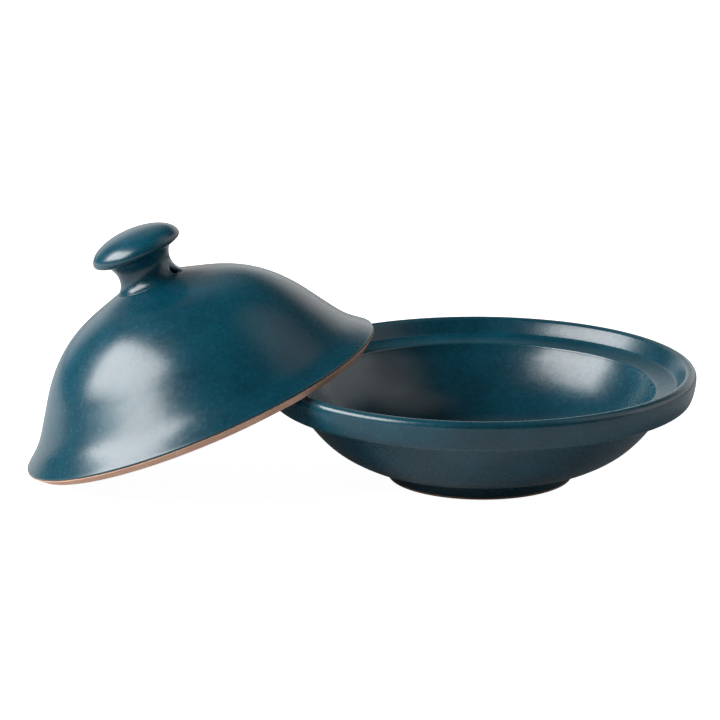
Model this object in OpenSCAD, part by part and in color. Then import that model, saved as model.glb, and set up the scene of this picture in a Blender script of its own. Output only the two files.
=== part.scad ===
// Stoneware tagine: a shallow footed dish with a gallery rim, and a domed lid with a mushroom knob.
// Millimetres, +Z up. The origin is the centre of the dish's foot, on the table.
// The lid leans on the dish: its left edge stands on the table and its underside rests on the lip.

/* [Dish] */
// Outside diameter of the dish at its lip
dish_d = 300; // [290:1:310]
// Height of the dish from the table to the top of its lip
dish_h = 78; // [76:1:82]
// Radius of the rounded lip
lip_r = 4.4; // [3.5:0.1:5]
// Height of the collar's underside, where the bowl wall steps in
collar_under_h = 56.9; // [54:0.1:59]
// Radius of the bowl wall where it meets the collar's underside
bowl_top_r = 131.3; // [129:0.1:133]
// Radius of the bowl wall's lower edge, above the foot
bowl_low_r = 86; // [80:0.1:90]
// Thickness of the thrown bowl wall
bowl_wall = 8.5; // [7:0.1:9]
// Extra thickness that the wall gains towards the gallery's ledge
bowl_wall_gain = 2.2; // [1:0.1:3]
// Radius of the flat floor inside the bowl
floor_flat_r = 56; // [50:1:60]

/* [Gallery] */
// Radius of the gallery's corner, where the lid's edge drops in
gallery_r = 136.5; // [135:0.1:138]
// Height of the gallery's corner
gallery_h = 67.2; // [66:0.1:68]
// Radius of the ledge's inner edge
ledge_in_r = 123; // [121:0.1:124]
// Height of the ledge's inner edge
ledge_in_h = 64.5; // [64:0.1:66]
// Radius that the ledge's inner edge is rounded to
ledge_nose_r = 2; // [1:0.1:2.5]

/* [Foot] */
// Height of the foot ring
foot_h = 14.2; // [12:0.1:15]
// Outside radius of the foot on the table
foot_low_r = 64.4; // [60:0.1:68]
// Outside radius of the foot where it meets the bowl
foot_top_r = 70.6; // [65:0.1:72]
// Inside radius of the foot ring
foot_in_r = 56; // [50:0.1:58]
// Height of the unglazed band that stands on the table
foot_bare_h = 1.5; // [1:0.1:3]
// Depth of the hollow under the dish
foot_recess = 8; // [6:0.1:10]

/* [Lid] */
// Radius of the lid's outer edge
lid_r = 131.9; // [130:0.1:133]
// Outside radius of the flat land that the lid stands on
lid_land_r = 125.8; // [125:0.1:127]
// Inside radius of that land
lid_land_in_r = 118; // [117:0.1:119]
// Height of the lid's outer edge above its land
lid_edge_h = 5.1; // [4.5:0.1:5.5]
// Depth of the unglazed clay band at the lid's edge
lid_bare_t = 1; // [0.6:0.1:2]
// Thickness of the lid's wall
lid_wall = 7; // [6:0.1:8]
// Radius of the flat seat on the crown, where the knob is luted on
crown_seat_r = 25; // [24:0.1:26]
// Height of that seat above the land
crown_seat_h = 95.1; // [95:0.1:95.5]

/* [Knob] */
// Radius of the knob's cap
cap_r = 32.3; // [30:0.1:34]
// Height of the cap's widest edge above the lid's land
cap_mid_h = 120.4; // [119.5:0.1:123]
// Height of the cap above its widest edge
cap_top_t = 14.4; // [12:0.1:16]
// Depth of the cap below its widest edge
cap_low_t = 6.6; // [6:0.1:9]
// Radius of the neck under the cap
neck_top_r = 23.4; // [22:0.1:25]

/* [Steam vent] */
// Diameter of the steam vent
vent_d = 6.4; // [5:0.1:7]
// Distance of the vent's mouth from the lid's axis
vent_r = 21; // [20:0.1:22]
// Height of the vent's mouth above the lid's land
vent_h = 98.9; // [98:0.1:100]
// Direction of the vent around the lid's axis, degrees from the dish side
vent_azimuth = -20; // [-40:1:40]
// Slope of the vent above the lid's own horizontal, degrees
vent_slope = 45; // [40:1:55]

/* [Lean] */
// Angle between the leaning lid's axis and the vertical, degrees
lean_angle = 22.2; // [22:0.1:22.4]
// Distance from the dish's axis to the centre of the leaning lid's land
lean_reach = 194.3; // [194.3:0.1:196]

/* [Hidden] */
$fn = 180;
rim_r = dish_d / 2;
// The lid's lowest point is its land's outer edge, which stands on the table.
lean_h = lid_land_r * sin(lean_angle);
steps = 16;
fine_steps = 24;
glaze = [0.05, 0.22, 0.28];
bare_clay = [0.56, 0.34, 0.24];

// Control points of the bowl wall's outer curve, from its lower edge up to the collar.
bowl_curve = [
    [bowl_low_r, foot_h],
    [bowl_low_r + 18.3, foot_h + 8.4],
    [bowl_top_r - 17.8, collar_under_h - 26.9],
    [bowl_top_r, collar_under_h],
];
// Share of the bowl's curve at which its inner face stops, just under the ledge.
inside_end = 0.92;
// The bowl's inner face, from its lower edge up: the wall thickens upwards to meet the ledge.
bowl_inside = [
    for (i = [0:fine_steps])
        let (t = inside_end * i / fine_steps) beside(bowl_curve, t, bowl_wall + bowl_wall_gain * t)
];
// Control points of the blend from the bowl's inner wall to its flat floor.
floor_h = foot_recess + bowl_wall;
inner_low = bowl_inside[0];
floor_curve = [
    inner_low,
    inner_low - [6, 2.8],
    [floor_flat_r + 12, floor_h],
    [floor_flat_r, floor_h],
];
// Control points of the collar's outer face, from its lower edge up to the lip.
collar_curve = [
    [rim_r - 3.8, collar_under_h],
    [rim_r - 1, collar_under_h + 6.5],
    [rim_r, dish_h - lip_r - 5],
    [rim_r, dish_h - lip_r],
];
// Control points of the lid's flared brim, from its edge in and up to where the curve turns over.
brim_curve = [
    [lid_r - 0.5, lid_edge_h + 1.6],
    [lid_r - 15, lid_edge_h + 13.1],
    [lid_r - 14.4, lid_edge_h + 13.1],
    [lid_r - 30.4, lid_edge_h + 37.3],
];
// Control points of the dome, from that turn up to the crown.
dome_curve = [
    [lid_r - 30.4, lid_edge_h + 37.3],
    [77.8, 80.1],
    [52.7, 84.9],
    [35.6, 91.4],
];
// Control points of the neck, from under the cap down to the flare on the crown.
neck_curve = [
    [neck_top_r, cap_low_z(neck_top_r)],
    [neck_top_r - 7, crown_seat_h + 12.9],
    [neck_top_r - 4, crown_seat_h + 3],
    [crown_seat_r, crown_seat_h],
];

// The unglazed band's back face, from the lid's inside to its outer edge.
edge_dir = [lid_r - lid_land_r, lid_edge_h] / norm([lid_r - lid_land_r, lid_edge_h]);
band_depth = lid_bare_t * [-edge_dir[1], edge_dir[0]];
band_back = [
    [lid_land_in_r + 0.2, band_depth[1]],
    [lid_land_r, 0] + band_depth + 1.5 * edge_dir,
    [lid_r, lid_edge_h] + band_depth - 0.6 * edge_dir,
];

// A cubic curve through control points p, at t from 0 to 1, and its direction there.
function at(p, t) = pow(1 - t, 3) * p[0] + 3 * pow(1 - t, 2) * t * p[1]
    + 3 * (1 - t) * t * t * p[2] + pow(t, 3) * p[3];
function along(p, t) = pow(1 - t, 2) * (p[1] - p[0]) + 2 * (1 - t) * t * (p[2] - p[1])
    + t * t * (p[3] - p[2]);
// A point at a distance w to the left of the curve.
function beside(p, t, w) = let (d = along(p, t)) at(p, t) + w * [-d[1], d[0]] / norm(d);
function curve(p, n, t0 = 0) = [for (i = [0:n]) at(p, t0 + (1 - t0) * i / n)];
function offset_curve(p, n, w, t0 = 0) = [for (i = [0:n]) beside(p, t0 + (1 - t0) * i / n, w)];
function arc(c, r, a0, a1, n) = [for (i = [0:n]) let (a = a0 + (a1 - a0) * i / n) c + r * [cos(a), sin(a)]];
function tail(v) = [for (i = [1:len(v) - 1]) v[i]];
function reversed(v) = [for (i = [len(v) - 1:-1:0]) v[i]];
// Height of the cap's underside at radius r.
function cap_low_z(r) = cap_mid_h - cap_low_t * sqrt(1 - pow(r / cap_r, 2));

module leaning() {
    translate([-lean_reach, 0, lean_h]) rotate([0, -lean_angle, 0]) children();
}

// The cylinder that the vent is drilled with, on the lid's own axis.
module vent_drill() {
    rotate([0, 0, vent_azimuth])
        translate([vent_r, 0, vent_h])
            rotate([0, 90 - vent_slope, 0])
                cylinder(h = 60, d = vent_d, center = true);
}

module dish_body() {
    lip_centre = [rim_r - lip_r, dish_h - lip_r];
    lip_end = 138;
    nose_centre = [ledge_in_r + 0.3, ledge_in_h - ledge_nose_r];
    color(glaze)
        rotate_extrude()
            polygon(concat(
                [[0, foot_recess], [foot_in_r, foot_recess], [foot_in_r, foot_h]],
                curve(bowl_curve, fine_steps),
                curve(collar_curve, 10),
                tail(arc(lip_centre, lip_r, 0, lip_end, 12)),
                [[gallery_r, gallery_h]],
                arc(nose_centre, ledge_nose_r, 100, 180, 5),
                reversed(bowl_inside),
                tail(curve(floor_curve, 8)),
                [[0, floor_h]]
            ));
}

module foot_section(low, high) {
    slope = (foot_top_r - foot_low_r) / foot_h;
    color(low > 0 ? glaze : bare_clay)
        rotate_extrude()
            polygon([
                [foot_in_r, low],
                [foot_low_r + slope * low, low],
                [foot_low_r + slope * high, high],
                [foot_in_r, high],
            ]);
}

module dish_foot_ring() {
    foot_section(foot_bare_h, foot_h);
}

module dish_foot_band() {
    foot_section(0, foot_bare_h);
}

// The glazed wall starts behind the clay band and overhangs it a little.
module lid_dome() {
    color(glaze)
        leaning()
            difference() {
                rotate_extrude()
                    polygon(concat(
                        [[lid_land_in_r, 0]],
                        band_back,
                        curve(brim_curve, steps),
                        tail(curve(dome_curve, steps)),
                        [[crown_seat_r, crown_seat_h], [0, crown_seat_h]],
                        [[0, crown_seat_h - lid_wall - 1]],
                        reversed(offset_curve(dome_curve, steps, lid_wall)),
                        tail(reversed(offset_curve(brim_curve, steps, lid_wall, 0.25)))
                    ));
                vent_drill();
            }
}

module lid_rim_band() {
    color(bare_clay)
        leaning()
            rotate_extrude()
                polygon(concat(
                    [[lid_land_in_r, 0], [lid_land_r, 0], [lid_r, lid_edge_h]],
                    reversed(band_back)
                ));
}

module lid_knob() {
    color(glaze)
        leaning()
            difference() {
                rotate_extrude()
                    polygon(concat(
                        [[0, crown_seat_h]],
                        reversed(curve(neck_curve, steps)),
                        [for (r = [neck_top_r + 2:2:cap_r - 0.6]) [r, cap_low_z(r)]],
                        [for (a = [0:5:90]) [cap_r * cos(a), cap_mid_h + cap_top_t * sin(a)]]
                    ));
                vent_drill();
            }
}

dish_body();
dish_foot_ring();
dish_foot_band();
lid_dome();
lid_rim_band();
lid_knob();
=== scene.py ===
"""A stoneware tagine in a satin teal glaze: a footed dish, and its domed lid leaning on the dish.

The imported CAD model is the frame. Each visible piece is turned on its own axis from a profile in
millimetres, set in place in metres, and rides on the CAD body that it belongs to.
"""
import math

import bmesh
import bpy
import numpy as np
from mathutils import Matrix, Vector


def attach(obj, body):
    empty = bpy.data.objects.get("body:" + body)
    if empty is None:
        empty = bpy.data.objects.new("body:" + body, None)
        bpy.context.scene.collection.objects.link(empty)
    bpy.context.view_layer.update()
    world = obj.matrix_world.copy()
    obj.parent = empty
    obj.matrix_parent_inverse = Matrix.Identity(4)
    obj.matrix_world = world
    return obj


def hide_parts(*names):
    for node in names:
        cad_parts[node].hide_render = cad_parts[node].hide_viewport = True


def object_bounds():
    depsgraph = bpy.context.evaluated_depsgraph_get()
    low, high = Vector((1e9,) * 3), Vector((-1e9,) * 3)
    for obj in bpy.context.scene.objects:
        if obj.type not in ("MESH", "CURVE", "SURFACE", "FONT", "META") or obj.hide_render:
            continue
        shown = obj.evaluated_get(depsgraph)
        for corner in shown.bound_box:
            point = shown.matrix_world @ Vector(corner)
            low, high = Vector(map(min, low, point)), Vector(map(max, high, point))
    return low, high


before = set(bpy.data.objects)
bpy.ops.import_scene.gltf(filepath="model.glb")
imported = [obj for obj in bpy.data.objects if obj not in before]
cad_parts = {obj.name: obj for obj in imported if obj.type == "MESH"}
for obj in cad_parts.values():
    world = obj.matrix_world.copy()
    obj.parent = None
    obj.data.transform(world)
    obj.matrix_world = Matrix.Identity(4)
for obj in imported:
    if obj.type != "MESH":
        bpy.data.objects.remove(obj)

CAD_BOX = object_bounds()
MIDDLE = (Vector(CAD_BOX[0]) + Vector(CAD_BOX[1])) / 2
MM = 0.001

# ---- Driving dimensions, in millimetres and degrees, the same as the CAD model's ----

# Dish
DISH_R = 150.0
DISH_H = 78.0
LIP_R = 4.4
COLLAR_UNDER_H = 56.9
BOWL_TOP_R = 131.3
BOWL_LOW_R = 86.0
BOWL_WALL = 8.5
BOWL_WALL_GAIN = 2.2
FLOOR_FLAT_R = 56.0
# The ledge that seats the lid, from its outer to its inner end: (radius, height)
GALLERY = (136.5, 67.2)
LEDGE_IN = (123.0, 64.5)
LEDGE_NOSE_R = 2.0

# Foot
FOOT_H = 14.2
FOOT_LOW_R = 64.4
FOOT_TOP_R = 70.6
FOOT_IN_R = 56.0
FOOT_BARE_H = 1.5
FOOT_RECESS = 8.0

# Lid
LID_R = 131.9
LAND_R = 125.8
LAND_IN_R = 118.0
LID_EDGE_H = 5.1
LID_BARE_T = 1.0
LID_WALL = 7.0
CROWN_GAIN = 1.0
SEAT_R = 25.0
SEAT_H = 95.1

# Knob
CAP_R = 32.3
CAP_MID_H = 120.4
CAP_TOP_T = 14.4
CAP_LOW_T = 6.6
NECK_TOP_R = 23.4

# Steam vent
VENT_R = 3.2
VENT_OUT = 21.0
VENT_H = 98.9
VENT_AZIMUTH = -20.0
VENT_SLOPE = 45.0

# Lean
LEAN = math.radians(22.2)
LEAN_REACH = 194.3

# The glaze is this much proud of the bare clay.
GLAZE_T = 0.25

# ---- How finely the meshes are made ----

# Segments around each turned piece, and around the rod that drills the vent
AROUND = 320
AROUND_VENT = 64
# Spacing of the fine outlines that the profiles are softened on, in millimetres
STEP = 0.35
# A point nearer to the axis than this is on it, in millimetres.
ON_AXIS = 1e-4

# ---- Profiles ----
# Curves and arcs only need enough points to look smooth, because outline() spaces them anew.


def bezier(p, n, t0=0.0):
    """Points of the cubic curve through control points p, from t0 to 1, and its unit directions."""
    a, b, c, d = (np.array(q, float) for q in p)
    t = np.linspace(t0, 1, n + 1)[:, None]
    points = (1 - t) ** 3 * a + 3 * (1 - t) ** 2 * t * b + 3 * (1 - t) * t * t * c + t ** 3 * d
    slope = (1 - t) ** 2 * (b - a) + 2 * (1 - t) * t * (c - b) + t * t * (d - c)
    return points, slope / np.linalg.norm(slope, axis=1)[:, None]


def curve(p, n):
    return bezier(p, n)[0]


def offset(p, n, distance, t0=0.0):
    """The curve moved to its own left by distance."""
    points, slope = bezier(p, n, t0)
    return points + distance * np.stack([-slope[:, 1], slope[:, 0]], 1)


def arc(centre, radius, start, end, n):
    """Points from start to end, in degrees anticlockwise from straight outwards."""
    a = np.radians(np.linspace(start, end, n + 1))
    return np.stack([centre[0] + radius * np.cos(a), centre[1] + radius * np.sin(a)], 1)


def cap_low_z(r):
    """The height of the knob cap's underside at radius r."""
    return CAP_MID_H - CAP_LOW_T * math.sqrt(1 - (r / CAP_R) ** 2)


# Control points of the cubic curves in the profiles: (radius, height)
BOWL = [
    (BOWL_LOW_R, FOOT_H),
    (BOWL_LOW_R + 18.3, FOOT_H + 8.4),
    (BOWL_TOP_R - 17.8, COLLAR_UNDER_H - 26.9),
    (BOWL_TOP_R, COLLAR_UNDER_H),
]
COLLAR = [
    (DISH_R - 3.8, COLLAR_UNDER_H),
    (DISH_R - 1, COLLAR_UNDER_H + 6.5),
    (DISH_R, DISH_H - LIP_R - 5),
    (DISH_R, DISH_H - LIP_R),
]
BRIM = [
    (LID_R - 0.5, LID_EDGE_H + 1.6),
    (LID_R - 15, LID_EDGE_H + 13.1),
    (LID_R - 14.4, LID_EDGE_H + 13.1),
    (LID_R - 30.4, LID_EDGE_H + 37.3),
]
DOME = [(LID_R - 30.4, LID_EDGE_H + 37.3), (77.8, 80.1), (52.7, 84.9), (35.6, 91.4)]
NECK = [
    (NECK_TOP_R, cap_low_z(NECK_TOP_R)),
    (NECK_TOP_R - 7, SEAT_H + 12.9),
    (NECK_TOP_R - 4, SEAT_H + 3),
    (SEAT_R, SEAT_H),
]

# The arcs of the lip and of the ledge's nose, in degrees
LIP_ARC = (0, 138)
NOSE_ARC = (100, 180)
# The bowl's inner face stops just under the ledge, at this share of the bowl's curve.
BOWL_INSIDE_END = 0.92
# The brim's inner face starts above the land's inner edge, at this share of the brim's curve.
BRIM_INSIDE_START = 0.25

# The unglazed band's back face, from the lid's inside to its outer edge. It starts this far out from
# the land's inner edge, turns this far up the sloping edge, and ends this far short of the outer edge.
BAND_START = 0.2
BAND_TURN = 1.5
BAND_SHORT = 0.6
LAND_EDGE = np.array([LAND_R, 0.0])
LID_EDGE = np.array([LID_R, LID_EDGE_H])
EDGE_DIR = (LID_EDGE - LAND_EDGE) / np.linalg.norm(LID_EDGE - LAND_EDGE)
EDGE_IN = np.array([-EDGE_DIR[1], EDGE_DIR[0]])
BAND_BACK = np.array([
    [LAND_IN_R + BAND_START, LID_BARE_T * EDGE_IN[1]],
    LAND_EDGE + LID_BARE_T * EDGE_IN + BAND_TURN * EDGE_DIR,
    LID_EDGE + LID_BARE_T * EDGE_IN - BAND_SHORT * EDGE_DIR,
])


def bowl_inside(n):
    """The bowl wall's inner face: the wall gains thickness upwards, and meets the gallery's ledge."""
    points, slope = bezier(BOWL, n)
    share = np.linspace(0, 1, n + 1)[:, None]
    inner = points + (BOWL_WALL + BOWL_WALL_GAIN * share) * np.stack([-slope[:, 1], slope[:, 0]], 1)
    return inner[share[:, 0] <= BOWL_INSIDE_END]


def dish_profile():
    """From the middle of the dish's underside, out and up to the lip, and in to the middle of its floor."""
    floor_h = FOOT_RECESS + BOWL_WALL
    inner_low = offset(BOWL, 24, BOWL_WALL)[0]
    floor = [inner_low, inner_low - [6, 2.8], (FLOOR_FLAT_R + 12, floor_h), (FLOOR_FLAT_R, floor_h)]
    # The ledge's nose is an arc around this place.
    nose = (LEDGE_IN[0] + 0.3, LEDGE_IN[1] - LEDGE_NOSE_R)
    return np.vstack([
        [[0, FOOT_RECESS], [FOOT_IN_R, FOOT_RECESS], [FOOT_IN_R, FOOT_H]],
        curve(BOWL, 48),
        curve(COLLAR, 24),
        arc((DISH_R - LIP_R, DISH_H - LIP_R), LIP_R, *LIP_ARC, 24)[1:],
        [GALLERY],
        arc(nose, LEDGE_NOSE_R, *NOSE_ARC, 8),
        bowl_inside(50)[::-1],
        curve(floor, 16)[1:],
        [[0, floor_h]],
    ])


def foot_profile(low, high, inset=0.0):
    """A closed ring of the foot between two heights."""
    slope = (FOOT_TOP_R - FOOT_LOW_R) / FOOT_H
    return np.array([
        [FOOT_IN_R + inset, low],
        [FOOT_LOW_R + slope * low - inset, low],
        [FOOT_LOW_R + slope * high - inset, high],
        [FOOT_IN_R + inset, high],
    ])


def dome_profile():
    """From the middle of the lid's hollow, down to its edge, and up over the outside to the crown."""
    return np.vstack([
        [[0, SEAT_H - LID_WALL - CROWN_GAIN]],
        offset(DOME, 40, LID_WALL)[::-1],
        offset(BRIM, 30, LID_WALL, BRIM_INSIDE_START)[::-1][1:],
        [[LAND_IN_R, 0]],
        BAND_BACK,
        curve(BRIM, 40),
        curve(DOME, 40)[1:],
        [[SEAT_R, SEAT_H], [0, SEAT_H]],
    ])


def rim_band_profile():
    """A closed ring of bare clay, with its faces a little under the glaze's."""
    return np.vstack([
        [[LAND_IN_R + GLAZE_T, 0], [LAND_R - GLAZE_T, 0]],
        [LID_EDGE + GLAZE_T * EDGE_IN - GLAZE_T * EDGE_DIR],
        BAND_BACK[::-1] + GLAZE_T * EDGE_IN,
    ])


def knob_profile():
    """From the middle of the knob's seat, out and up the neck, and over the cap to its top."""
    under = [(r, cap_low_z(r)) for r in np.arange(NECK_TOP_R + 2, CAP_R - 0.6, 1.0)]
    angles = np.radians(np.arange(0, 91, 3))
    over = [(CAP_R * math.cos(a), CAP_MID_H + CAP_TOP_T * math.sin(a)) for a in angles]
    over[-1] = (0, CAP_MID_H + CAP_TOP_T)
    return np.vstack([[[0, SEAT_H]], curve(NECK, 30)[::-1], under, over])


def vent_profile():
    """A plain round rod on the axis, longer than the wall is thick."""
    half = 30
    return np.array([[0, -half], [VENT_R, -half], [VENT_R, half], [0, half]])


# ---- Meshes ----


def resample(points, closed):
    """The outline again with points STEP apart."""
    p = np.vstack([points, points[:1]]) if closed else points
    run = np.concatenate([[0], np.cumsum(np.linalg.norm(np.diff(p, axis=0), axis=1))])
    count = int(run[-1] / STEP)
    at = np.linspace(0, run[-1], count + 1)
    if closed:
        at = at[:-1]
    return np.stack([np.interp(at, run, p[:, 0]), np.interp(at, run, p[:, 1])], 1)


def relax(points, closed, sigma, weight=None):
    """Rounds the corners off by sigma millimetres, where weight says so."""
    p = points.copy()
    w = np.full(len(p), 0.5) if weight is None else 0.5 * weight
    if not closed:
        w[0] = w[-1] = 0
    for _ in range(max(1, round(2 * (sigma / STEP) ** 2))):
        p += w[:, None] * ((np.roll(p, 1, 0) + np.roll(p, -1, 0)) / 2 - p)
    return p


def bend(points, closed):
    """How sharply the outline turns at each point, per millimetre: positive on outward corners."""
    before, after = points - np.roll(points, 1, 0), np.roll(points, -1, 0) - points
    turn = np.arctan2(
        before[:, 0] * after[:, 1] - before[:, 1] * after[:, 0], (before * after).sum(1)
    )
    if not closed:
        turn[0] = turn[-1] = 0
    return turn / STEP


def thin(points, turning, closed, longest=3.0, most_turn=0.06):
    """Indices to keep: close together where the outline turns, and further apart where it's straight."""
    keep, length, turned = [0], 0.0, 0.0
    for i in range(1, len(points)):
        length += np.linalg.norm(points[i] - points[i - 1])
        turned += abs(turning[i]) * STEP
        if length >= longest or turned >= most_turn:
            keep.append(i)
            length = turned = 0.0
    if not closed and keep[-1] != len(points) - 1:
        keep[-1] = len(points) - 1
    return keep


def outline(points, closed=False, sigma=0.45, soft=(), rings=None, longest=3.0):
    """A finished outline: columns are radius, height, edge (0.5 flat, 1 outward, 0 inward) and length.

    sigma rounds every corner, soft lists the corners to round further, as (corner, reach), and rings
    comes from throwing_rings().
    """
    spread, blurs, edge_gain = 1.6, 12, 1.2
    p = resample(points, closed)
    p = relax(p, closed, sigma)
    for corner, reach in soft:
        near = np.exp(-(np.linalg.norm(p - corner, axis=1) / (spread * reach)) ** 2)
        p = relax(p, closed, reach, near)
    if rings:
        p = rings(p)
    turning = bend(p, closed)
    blurred = turning.copy()
    for _ in range(blurs):
        blurred = 0.5 * blurred + 0.25 * (np.roll(blurred, 1) + np.roll(blurred, -1))
    edge = np.clip(0.5 + edge_gain * blurred, 0, 1)
    length = np.arange(len(p)) * STEP
    keep = thin(p, turning, closed, longest)
    return np.column_stack([p, edge, length])[keep]


def throwing_rings(first, last, pitch, height):
    """Finger rings on the part of an outline between two of its shares, as a function for outline().

    They fade in and out over a small share of it, and their spacing wanders a little along it.
    """
    fade, wander, wander_length = 0.03, 1.3, 23

    def shape(p):
        n = len(p)
        i = np.arange(n)
        share = i / (n - 1)
        inside = np.clip((share - first) / fade, 0, 1) * np.clip((last - share) / fade, 0, 1)
        d = np.roll(p, -1, 0) - np.roll(p, 1, 0)
        normal = np.stack([-d[:, 1], d[:, 0]], 1) / np.maximum(np.linalg.norm(d, axis=1), 1e-6)[:, None]
        wave = np.sin(2 * math.pi * i * STEP / pitch + wander * np.sin(i * STEP / wander_length))
        moved = p + (height * inside * wave)[:, None] * normal
        moved[0], moved[-1] = p[0], p[-1]
        return moved
    return shape


def turn_mesh(name, rows, closed=False, around=AROUND):
    """A mesh in millimetres, turned on the Z axis from an outline()."""
    bm = bmesh.new()
    edge_layer = bm.verts.layers.float.new("edge")
    along_layer = bm.verts.layers.float.new("along")
    rings = []
    for r, z, edge, along in rows:
        places = [(0.0, 0.0)] if r < ON_AXIS else [
            (r * math.cos(a), r * math.sin(a))
            for a in (2 * math.pi * k / around for k in range(around))
        ]
        ring = [bm.verts.new((x, y, z)) for x, y in places]
        for v in ring:
            v[edge_layer] = edge
            v[along_layer] = along * MM
        rings.append(ring)
    pairs = list(zip(rings, rings[1:])) + ([(rings[-1], rings[0])] if closed else [])
    for low, high in pairs:
        for k in range(around):
            n = (k + 1) % around
            if len(low) == 1:
                bm.faces.new((low[0], high[n], high[k]))
            elif len(high) == 1:
                bm.faces.new((low[k], low[n], high[0]))
            else:
                bm.faces.new((low[k], low[n], high[n], high[k]))
    bmesh.ops.recalc_face_normals(bm, faces=bm.faces)
    mesh = bpy.data.meshes.new(name)
    bm.to_mesh(mesh)
    bm.free()
    mesh.shade_smooth()
    return mesh


# The dish and the lid were turned by hand, so each is a little out of true: (lobes, amount, phase).
DISH_WAVES = [(2, 0.22, 0.6), (3, 0.14, 2.0)]
LID_WAVES = [(2, 0.16, 2.6), (3, 0.10, 0.4)]


def out_of_true(mesh, waves, full_r):
    """Moves the mesh in and out by a fraction of a millimetre, more towards the rim."""
    for v in mesh.vertices:
        r = math.hypot(v.co.x, v.co.y)
        a = math.atan2(v.co.y, v.co.x)
        grow = (r / full_r) ** 2 * sum(amount * math.cos(n * a + phase) for n, amount, phase in waves)
        if r > ON_AXIS:
            v.co.x *= 1 + grow / r
            v.co.y *= 1 + grow / r


def vent_frame():
    """The vent's own axis in the lid's frame."""
    return (
        Matrix.Rotation(math.radians(VENT_AZIMUTH), 4, "Z")
        @ Matrix.Translation((VENT_OUT, 0, VENT_H))
        @ Matrix.Rotation(math.radians(90 - VENT_SLOPE), 4, "Y")
    )


def soften_vent(mesh):
    """Lets the surface sink a little towards the vent, so that its mouth is rounded."""
    sink, reach, depth_reach = 0.9, 1.1, 5
    mouth = vent_frame()
    axis = (mouth.to_3x3() @ Vector((0, 0, 1))).normalized()
    centre = mouth.translation
    for v in mesh.vertices:
        away = v.co - centre
        depth = away.dot(axis)
        side = (away - depth * axis).length
        if abs(depth) < depth_reach:
            v.co -= axis * sink * math.exp(-(max(side - VENT_R, 0) / reach) ** 2)


def drill_vent(piece, cutter):
    """Cuts the cutter out of the piece, and keeps only the mesh that this makes."""
    cut = piece.modifiers.new("vent", "BOOLEAN")
    cut.operation = "DIFFERENCE"
    cut.solver = "EXACT"
    cut.object = cutter
    bpy.context.view_layer.update()
    made = bpy.data.meshes.new_from_object(piece.evaluated_get(bpy.context.evaluated_depsgraph_get()))
    piece.modifiers.clear()
    piece.data = made


# ---- Materials ----


def nodes_of(material):
    """The material's nodes, its links and its main shader."""
    material.use_nodes = True
    tree = material.node_tree
    return tree.nodes, tree.links, tree.nodes["Principled BSDF"]


def add(nodes, links, kind, inputs=(), **settings):
    """Makes a node. inputs are (socket, a value or another node's output)."""
    node = nodes.new(kind)
    for key, value in settings.items():
        setattr(node, key, value)
    for socket, value in inputs:
        if isinstance(value, bpy.types.NodeSocket):
            links.new(value, node.inputs[socket])
        else:
            node.inputs[socket].default_value = value
    return node


def noise_node(nodes, links, vector, size_mm, detail=2.0, rough=0.5):
    """Noise with features about size_mm across."""
    return add(nodes, links, "ShaderNodeTexNoise", [
        ("Vector", vector), ("Scale", 1 / (size_mm * MM)), ("Detail", detail), ("Roughness", rough),
    ]).outputs["Fac"]


def ramp(nodes, links, value, low, high, low_out, high_out):
    """The value, spread so that low to high becomes low_out to high_out."""
    return add(nodes, links, "ShaderNodeMapRange", [
        ("Value", value), ("From Min", low), ("From Max", high), ("To Min", low_out), ("To Max", high_out),
    ]).outputs["Result"]


def maths(nodes, links, operation, a, b):
    return add(nodes, links, "ShaderNodeMath", [(0, a), (1, b)], operation=operation).outputs[0]


def blend_colour(nodes, links, factor, a, b):
    """Colour a where factor is 0, and b where it is 1. Sockets 6 and 7 are the mix's two colours."""
    return add(nodes, links, "ShaderNodeMix", [(0, factor), (6, a), (7, b)], data_type="RGBA").outputs[2]


def scale_colour(nodes, links, colour, by):
    node = add(nodes, links, "ShaderNodeVectorMath", [(0, colour), ("Scale", by)], operation="SCALE")
    return node.outputs[0]


def add_relief(nodes, links, shader, height, depth_mm):
    """Bumps as deep as depth_mm where height goes from 0 to 1."""
    bump = add(nodes, links, "ShaderNodeBump", [
        ("Height", height), ("Strength", 1.0), ("Distance", depth_mm * MM),
    ])
    links.new(bump.outputs["Normal"], shader.inputs["Normal"])


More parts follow.
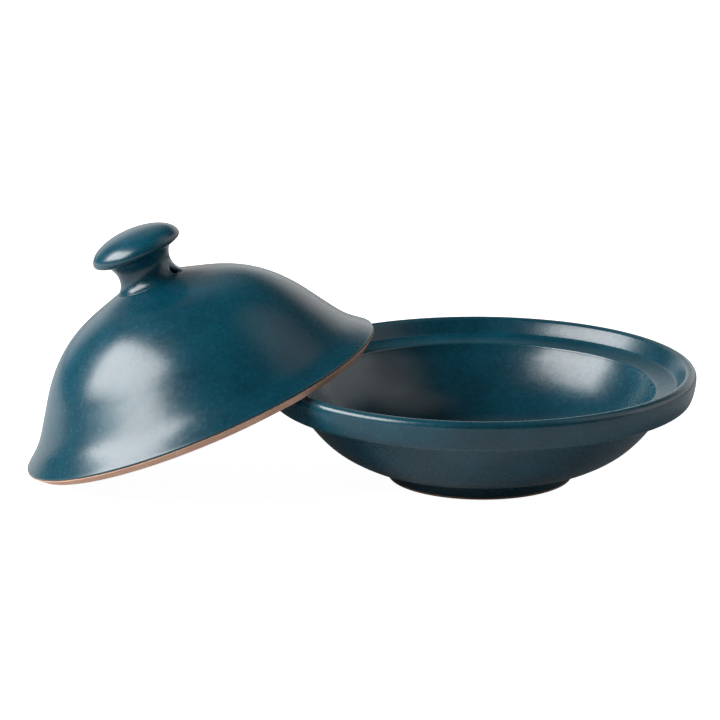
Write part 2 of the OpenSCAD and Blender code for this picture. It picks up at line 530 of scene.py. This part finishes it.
def glaze(name, shift):
    """Satin teal stoneware glaze: clouded, finely speckled, thinner on edges.

    shift moves the pattern, so that the dish and the lid don't repeat it.
    """
    material = bpy.data.materials.new(name)
    nodes, links, shader = nodes_of(material)
    place = add(nodes, links, "ShaderNodeTexCoord").outputs["Object"]
    place = add(nodes, links, "ShaderNodeMapping", [("Vector", place), ("Location", shift)]).outputs[0]
    edge = add(nodes, links, "ShaderNodeAttribute", attribute_name="edge").outputs["Fac"]

    cloud = noise_node(nodes, links, place, size_mm=42, detail=3.0, rough=0.55)
    grain = noise_node(nodes, links, place, size_mm=3.4, detail=3.0, rough=0.6)
    speckle = noise_node(nodes, links, place, size_mm=1.1, detail=2.0, rough=0.6)
    deep, full = (0.0010, 0.045, 0.072, 1), (0.0022, 0.065, 0.101, 1)
    colour = blend_colour(nodes, links, ramp(nodes, links, cloud, 0.36, 0.64, 0, 1), deep, full)
    light = maths(nodes, links, "ADD", ramp(nodes, links, speckle, 0.3, 0.7, 0.80, 1.20),
                  ramp(nodes, links, grain, 0.3, 0.7, -0.10, 0.10))
    colour = scale_colour(nodes, links, colour, light)
    thin_glaze = (0.018, 0.074, 0.094, 1)
    thinned = ramp(nodes, links, edge, 0.62, 1.0, 0, 0.45)
    links.new(blend_colour(nodes, links, thinned, colour, thin_glaze), shader.inputs["Base Color"])
    links.new(ramp(nodes, links, grain, 0.3, 0.7, 0.225, 0.285), shader.inputs["Roughness"])
    shader.inputs["IOR"].default_value = 1.58

    peel = maths(nodes, links, "MULTIPLY", speckle, 0.6)
    swell = maths(nodes, links, "MULTIPLY", noise_node(nodes, links, place, size_mm=14, detail=1.0), 3.0)
    add_relief(nodes, links, shader, maths(nodes, links, "ADD", peel, swell), depth_mm=0.035)
    return material


def bare_clay(name, painted_shade_scale):
    """Unglazed brown stoneware: sandy grain, turning lines around the piece, a few dark iron spots.

    The last argument is how bright it all is; below 1 it darkens the colour as painted shade, for a strip
    that sits in the shade under the pot.
    """
    material = bpy.data.materials.new(name)
    nodes, links, shader = nodes_of(material)
    place = add(nodes, links, "ShaderNodeTexCoord").outputs["Object"]
    along = add(nodes, links, "ShaderNodeAttribute", attribute_name="along").outputs["Fac"]

    sand = noise_node(nodes, links, place, size_mm=0.7, detail=3.0, rough=0.65)
    patch = noise_node(nodes, links, place, size_mm=16, detail=2.0)
    lines = add(nodes, links, "ShaderNodeTexNoise", [
        ("W", along), ("Scale", 1 / (0.9 * MM)), ("Detail", 2.0),
    ], noise_dimensions="1D").outputs["Fac"]
    pale, warm = (0.72, 0.44, 0.32, 1), (0.62, 0.365, 0.26, 1)
    colour = blend_colour(nodes, links, ramp(nodes, links, patch, 0.35, 0.65, 0, 1), pale, warm)
    light = maths(nodes, links, "ADD", ramp(nodes, links, sand, 0.3, 0.7, 0.80, 1.16),
                  ramp(nodes, links, lines, 0.3, 0.7, -0.10, 0.08))
    # Painted shade: the last argument darkens the whole clay colour where the strip sits in the shade under
    # the pot.
    colour = scale_colour(nodes, links, colour, maths(nodes, links, "MULTIPLY", light, painted_shade_scale))
    spots = add(nodes, links, "ShaderNodeTexVoronoi", [("Vector", place), ("Scale", 1 / (4.2 * MM))])
    spot = ramp(nodes, links, spots.outputs["Distance"], 0.04, 0.12, 0.7, 0)
    iron = (0.11, 0.055, 0.035, 1)
    links.new(blend_colour(nodes, links, spot, colour, iron), shader.inputs["Base Color"])
    links.new(ramp(nodes, links, sand, 0.3, 0.7, 0.74, 0.92), shader.inputs["Roughness"])
    height = maths(nodes, links, "ADD", sand, maths(nodes, links, "MULTIPLY", lines, 0.8))
    add_relief(nodes, links, shader, height, depth_mm=0.09)
    return material


# ---- Pieces ----

DISH_PLACE = Matrix.Scale(MM, 4)
LID_PLACE = (
    Matrix.Translation((-LEAN_REACH * MM, 0, LAND_R * math.sin(LEAN) * MM))
    @ Matrix.Rotation(-LEAN, 4, "Y")
    @ Matrix.Scale(MM, 4)
)


def finish_piece(piece, place, body, node, material):
    """Sets a piece in place with its material, hangs it on the body that it rides on, and hides the CAD
    node that it stands for.
    """
    piece.data.transform(place)
    piece.data.materials.clear()
    piece.data.materials.append(material)
    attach(piece, body)
    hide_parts(node)


def make_object(name, mesh):
    piece = bpy.data.objects.new(name, mesh)
    bpy.context.scene.collection.objects.link(piece)
    return piece


# Corners that the glaze rounds more than the rest: (radius and height, by how much)
DISH_SOFT = [(COLLAR[0], 2.2), (GALLERY, 0.8), (BOWL[3], 1.2), (BOWL[0], 0.8)]
DOME_SOFT = [((LAND_IN_R, 0), 0.7)]
KNOB_SOFT = [((CAP_R, CAP_MID_H), 0.7)]


def build_dish(skin, clay):
    """The dish's three pieces: its shell, its glazed foot and the foot's bare strip."""
    shell = turn_mesh("dish_shell", outline(dish_profile(), soft=DISH_SOFT))
    # The foot reaches a little into the shell, and its bare strip into the foot, so that no gap shows.
    overlap = 0.6
    ring_outline = outline(foot_profile(FOOT_BARE_H, FOOT_H + overlap), closed=True)
    ring = turn_mesh("dish_foot", ring_outline, closed=True)
    band_outline = outline(foot_profile(0, FOOT_BARE_H + overlap, GLAZE_T), closed=True, sigma=0.35)
    band = turn_mesh("dish_foot_clay", band_outline, closed=True)
    for mesh, node, slot, material in (
        (shell, "dish_body", "dish_glaze", skin),
        (ring, "dish_foot_ring", "dish_glaze", skin),
        (band, "dish_foot_band", "bare_clay", clay),
    ):
        out_of_true(mesh, DISH_WAVES, DISH_R)
        finish_piece(make_object(mesh.name, mesh), DISH_PLACE, "dish", node, material)


def build_lid(skin, clay):
    """The lid's three pieces, with the vent drilled through the shell and the handle's neck."""
    rings = throwing_rings(first=0.04, last=0.40, pitch=7.5, height=0.22)
    dome_outline = outline(dome_profile(), soft=DOME_SOFT, rings=rings, longest=1.6)
    dome = make_object("lid_shell", turn_mesh("lid_shell", dome_outline))
    knob_outline = outline(knob_profile(), sigma=0.4, soft=KNOB_SOFT, longest=0.9)
    knob = make_object("lid_handle", turn_mesh("lid_handle", knob_outline))
    band_outline = outline(rim_band_profile(), closed=True, sigma=0.35)
    band = make_object("lid_clay_edge", turn_mesh("lid_clay_edge", band_outline, closed=True))
    # The rod's outline is used as it is, with the columns for edge and length left plain.
    rod_points = vent_profile()
    rod_outline = np.column_stack([rod_points, np.full(len(rod_points), 0.5), np.zeros(len(rod_points))])
    rod = make_object("vent_rod", turn_mesh("vent_rod", rod_outline, around=AROUND_VENT))
    rod.data.transform(vent_frame())
    for piece in (dome, knob, band):
        out_of_true(piece.data, LID_WAVES, LID_R)
    for piece in (dome, knob):
        soften_vent(piece.data)
        drill_vent(piece, rod)
    bpy.data.objects.remove(rod)
    finish_piece(dome, LID_PLACE, "lid", "lid_dome", skin)
    finish_piece(knob, LID_PLACE, "lid", "lid_knob", skin)
    finish_piece(band, LID_PLACE, "lid", "lid_rim_band", clay)


# ---- Studio ----


def towards(azimuth, elevation):
    """A direction from the pot: azimuth 0 is towards -Y, and positive is towards +X."""
    a, e = math.radians(azimuth), math.radians(elevation)
    return Vector((math.sin(a) * math.cos(e), -math.cos(a) * math.cos(e), math.sin(e)))


def aim(thing, point):
    thing.rotation_euler = (Vector(point) - thing.location).to_track_quat("-Z", "Y").to_euler()


def softbox(name, azimuth, elevation, wide, high, brightness, roll, distance=2.2):
    """A rectangular soft light that faces the pot, wide and high in degrees as the pot sees it.

    brightness is how bright its face looks, distance is in metres, and roll, in degrees, lifts the
    side that's on the left as the pot sees it.
    """
    light = bpy.data.lights.new(name, "AREA")
    light.shape = "RECTANGLE"
    light.size, light.size_y = (2 * distance * math.tan(math.radians(a / 2)) for a in (wide, high))
    light.energy = brightness * math.pi * light.size * light.size_y
    lamp = bpy.data.objects.new(name, light)
    bpy.context.scene.collection.objects.link(lamp)
    lamp.location = MIDDLE + towards(azimuth, elevation) * distance
    aim(lamp, MIDDLE)
    turned = lamp.rotation_euler.to_matrix() @ Matrix.Rotation(math.radians(roll), 3, "Z")
    lamp.rotation_euler = turned.to_euler()


# How bright the table and the room look to the camera, which sees a white sweep
TABLE_SEEN = 0.97
ROOM_SEEN = 1.0
# The share of light that the table bounces, its own faint glow, and half its width in metres
TABLE_BOUNCE = 0.66
TABLE_GLOW = 0.03
TABLE_HALF = 9.0


def seen_or_felt(nodes, links, seen, felt):
    """A value that is one thing to the camera and another to everything that the light bounces off."""
    camera_ray = add(nodes, links, "ShaderNodeLightPath").outputs["Is Camera Ray"]
    return ramp(nodes, links, camera_ray, 0, 1, felt, seen)


def build_floor():
    """A wide floor that looks white to the camera and bounces light on the pot as a pale grey one does."""
    bm = bmesh.new()
    bmesh.ops.create_grid(bm, x_segments=8, y_segments=8, size=TABLE_HALF)
    mesh = bpy.data.meshes.new("floor")
    bm.to_mesh(mesh)
    bm.free()
    material = bpy.data.materials.new("floor")
    nodes, links, shader = nodes_of(material)
    shader.inputs["Base Color"].default_value = (TABLE_BOUNCE, TABLE_BOUNCE, TABLE_BOUNCE, 1)
    shader.inputs["Roughness"].default_value = 0.95
    shader.inputs["Specular IOR Level"].default_value = 0.0
    shader.inputs["Emission Color"].default_value = (1, 1, 1, 1)
    links.new(seen_or_felt(nodes, links, TABLE_SEEN, TABLE_GLOW), shader.inputs["Emission Strength"])
    mesh.materials.append(material)
    floor = make_object("floor", mesh)


# Soft-edged reflectors around the pot: azimuth, elevation and how far each reaches from its middle,
# all in degrees, and how bright it is
REFLECTORS = [
    (110, 12, 34, 0.95),
    (84, 38, 28, 0.55),
    (112, 58, 22, 0.45),
    (158, 5, 29, 1.00),
    (-162, 4, 27, 0.90),
    (-160, 38, 24, 0.25),
]
# How bright the rest of the room is
ROOM = 0.03


def build_world():
    """A dim room with pale reflectors to the right of the pot and behind it."""
    world = bpy.data.worlds.new("studio")
    bpy.context.scene.world = world
    world.use_nodes = True
    nodes, links = world.node_tree.nodes, world.node_tree.links
    way = add(nodes, links, "ShaderNodeTexCoord").outputs["Generated"]
    total = ROOM
    for azimuth, elevation, reach, brightness in REFLECTORS:
        facing = add(nodes, links, "ShaderNodeVectorMath", [(0, way), (1, towards(azimuth, elevation))],
                     operation="DOT_PRODUCT").outputs["Value"]
        edge, core = math.cos(math.radians(reach)), math.cos(math.radians(reach / 3))
        glow = ramp(nodes, links, facing, edge, core, 0, brightness)
        glow.node.interpolation_type = "SMOOTHSTEP"
        total = maths(nodes, links, "ADD", glow, total)
    nodes["Background"].inputs["Color"].default_value = (1, 1, 1, 1)
    links.new(seen_or_felt(nodes, links, ROOM_SEEN, total), nodes["Background"].inputs["Strength"])


# The camera: angles in degrees, distance and how far below the middle it looks in metres, and its
# lens and sensor in millimetres
VIEW_AZIMUTH = 2.93
VIEW_ELEVATION = 14.48
VIEW_DISTANCE = 2.69
VIEW_DROP = 0.007
LENS = 192.7
SENSOR = 36.0


def build_camera():
    camera = bpy.data.objects.new("camera", bpy.data.cameras.new("camera"))
    bpy.context.scene.collection.objects.link(camera)
    camera.data.lens = LENS
    camera.data.sensor_width = SENSOR
    target = Vector((MIDDLE.x, 0, MIDDLE.z - VIEW_DROP))
    camera.location = target + towards(VIEW_AZIMUTH, VIEW_ELEVATION) * VIEW_DISTANCE
    aim(camera, target)
    bpy.context.scene.camera = camera


# The foot's bare strip gets a darker copy of the clay at 0.85, painted shade for the shade under the dish.
build_dish(glaze("dish_glaze_skin", (0.31, 0.12, 0.05)), bare_clay("foot_clay_painted_shade", 0.85))
build_lid(glaze("lid_glaze_skin", (1.7, 0.4, 0.9)), bare_clay("lid_clay_skin", 1.0))
build_floor()
build_world()
softbox("key", azimuth=-76.5, elevation=33.6, wide=50, high=32, brightness=10.0, roll=14)
build_camera()
bpy.context.scene.view_settings.view_transform = "Standard"
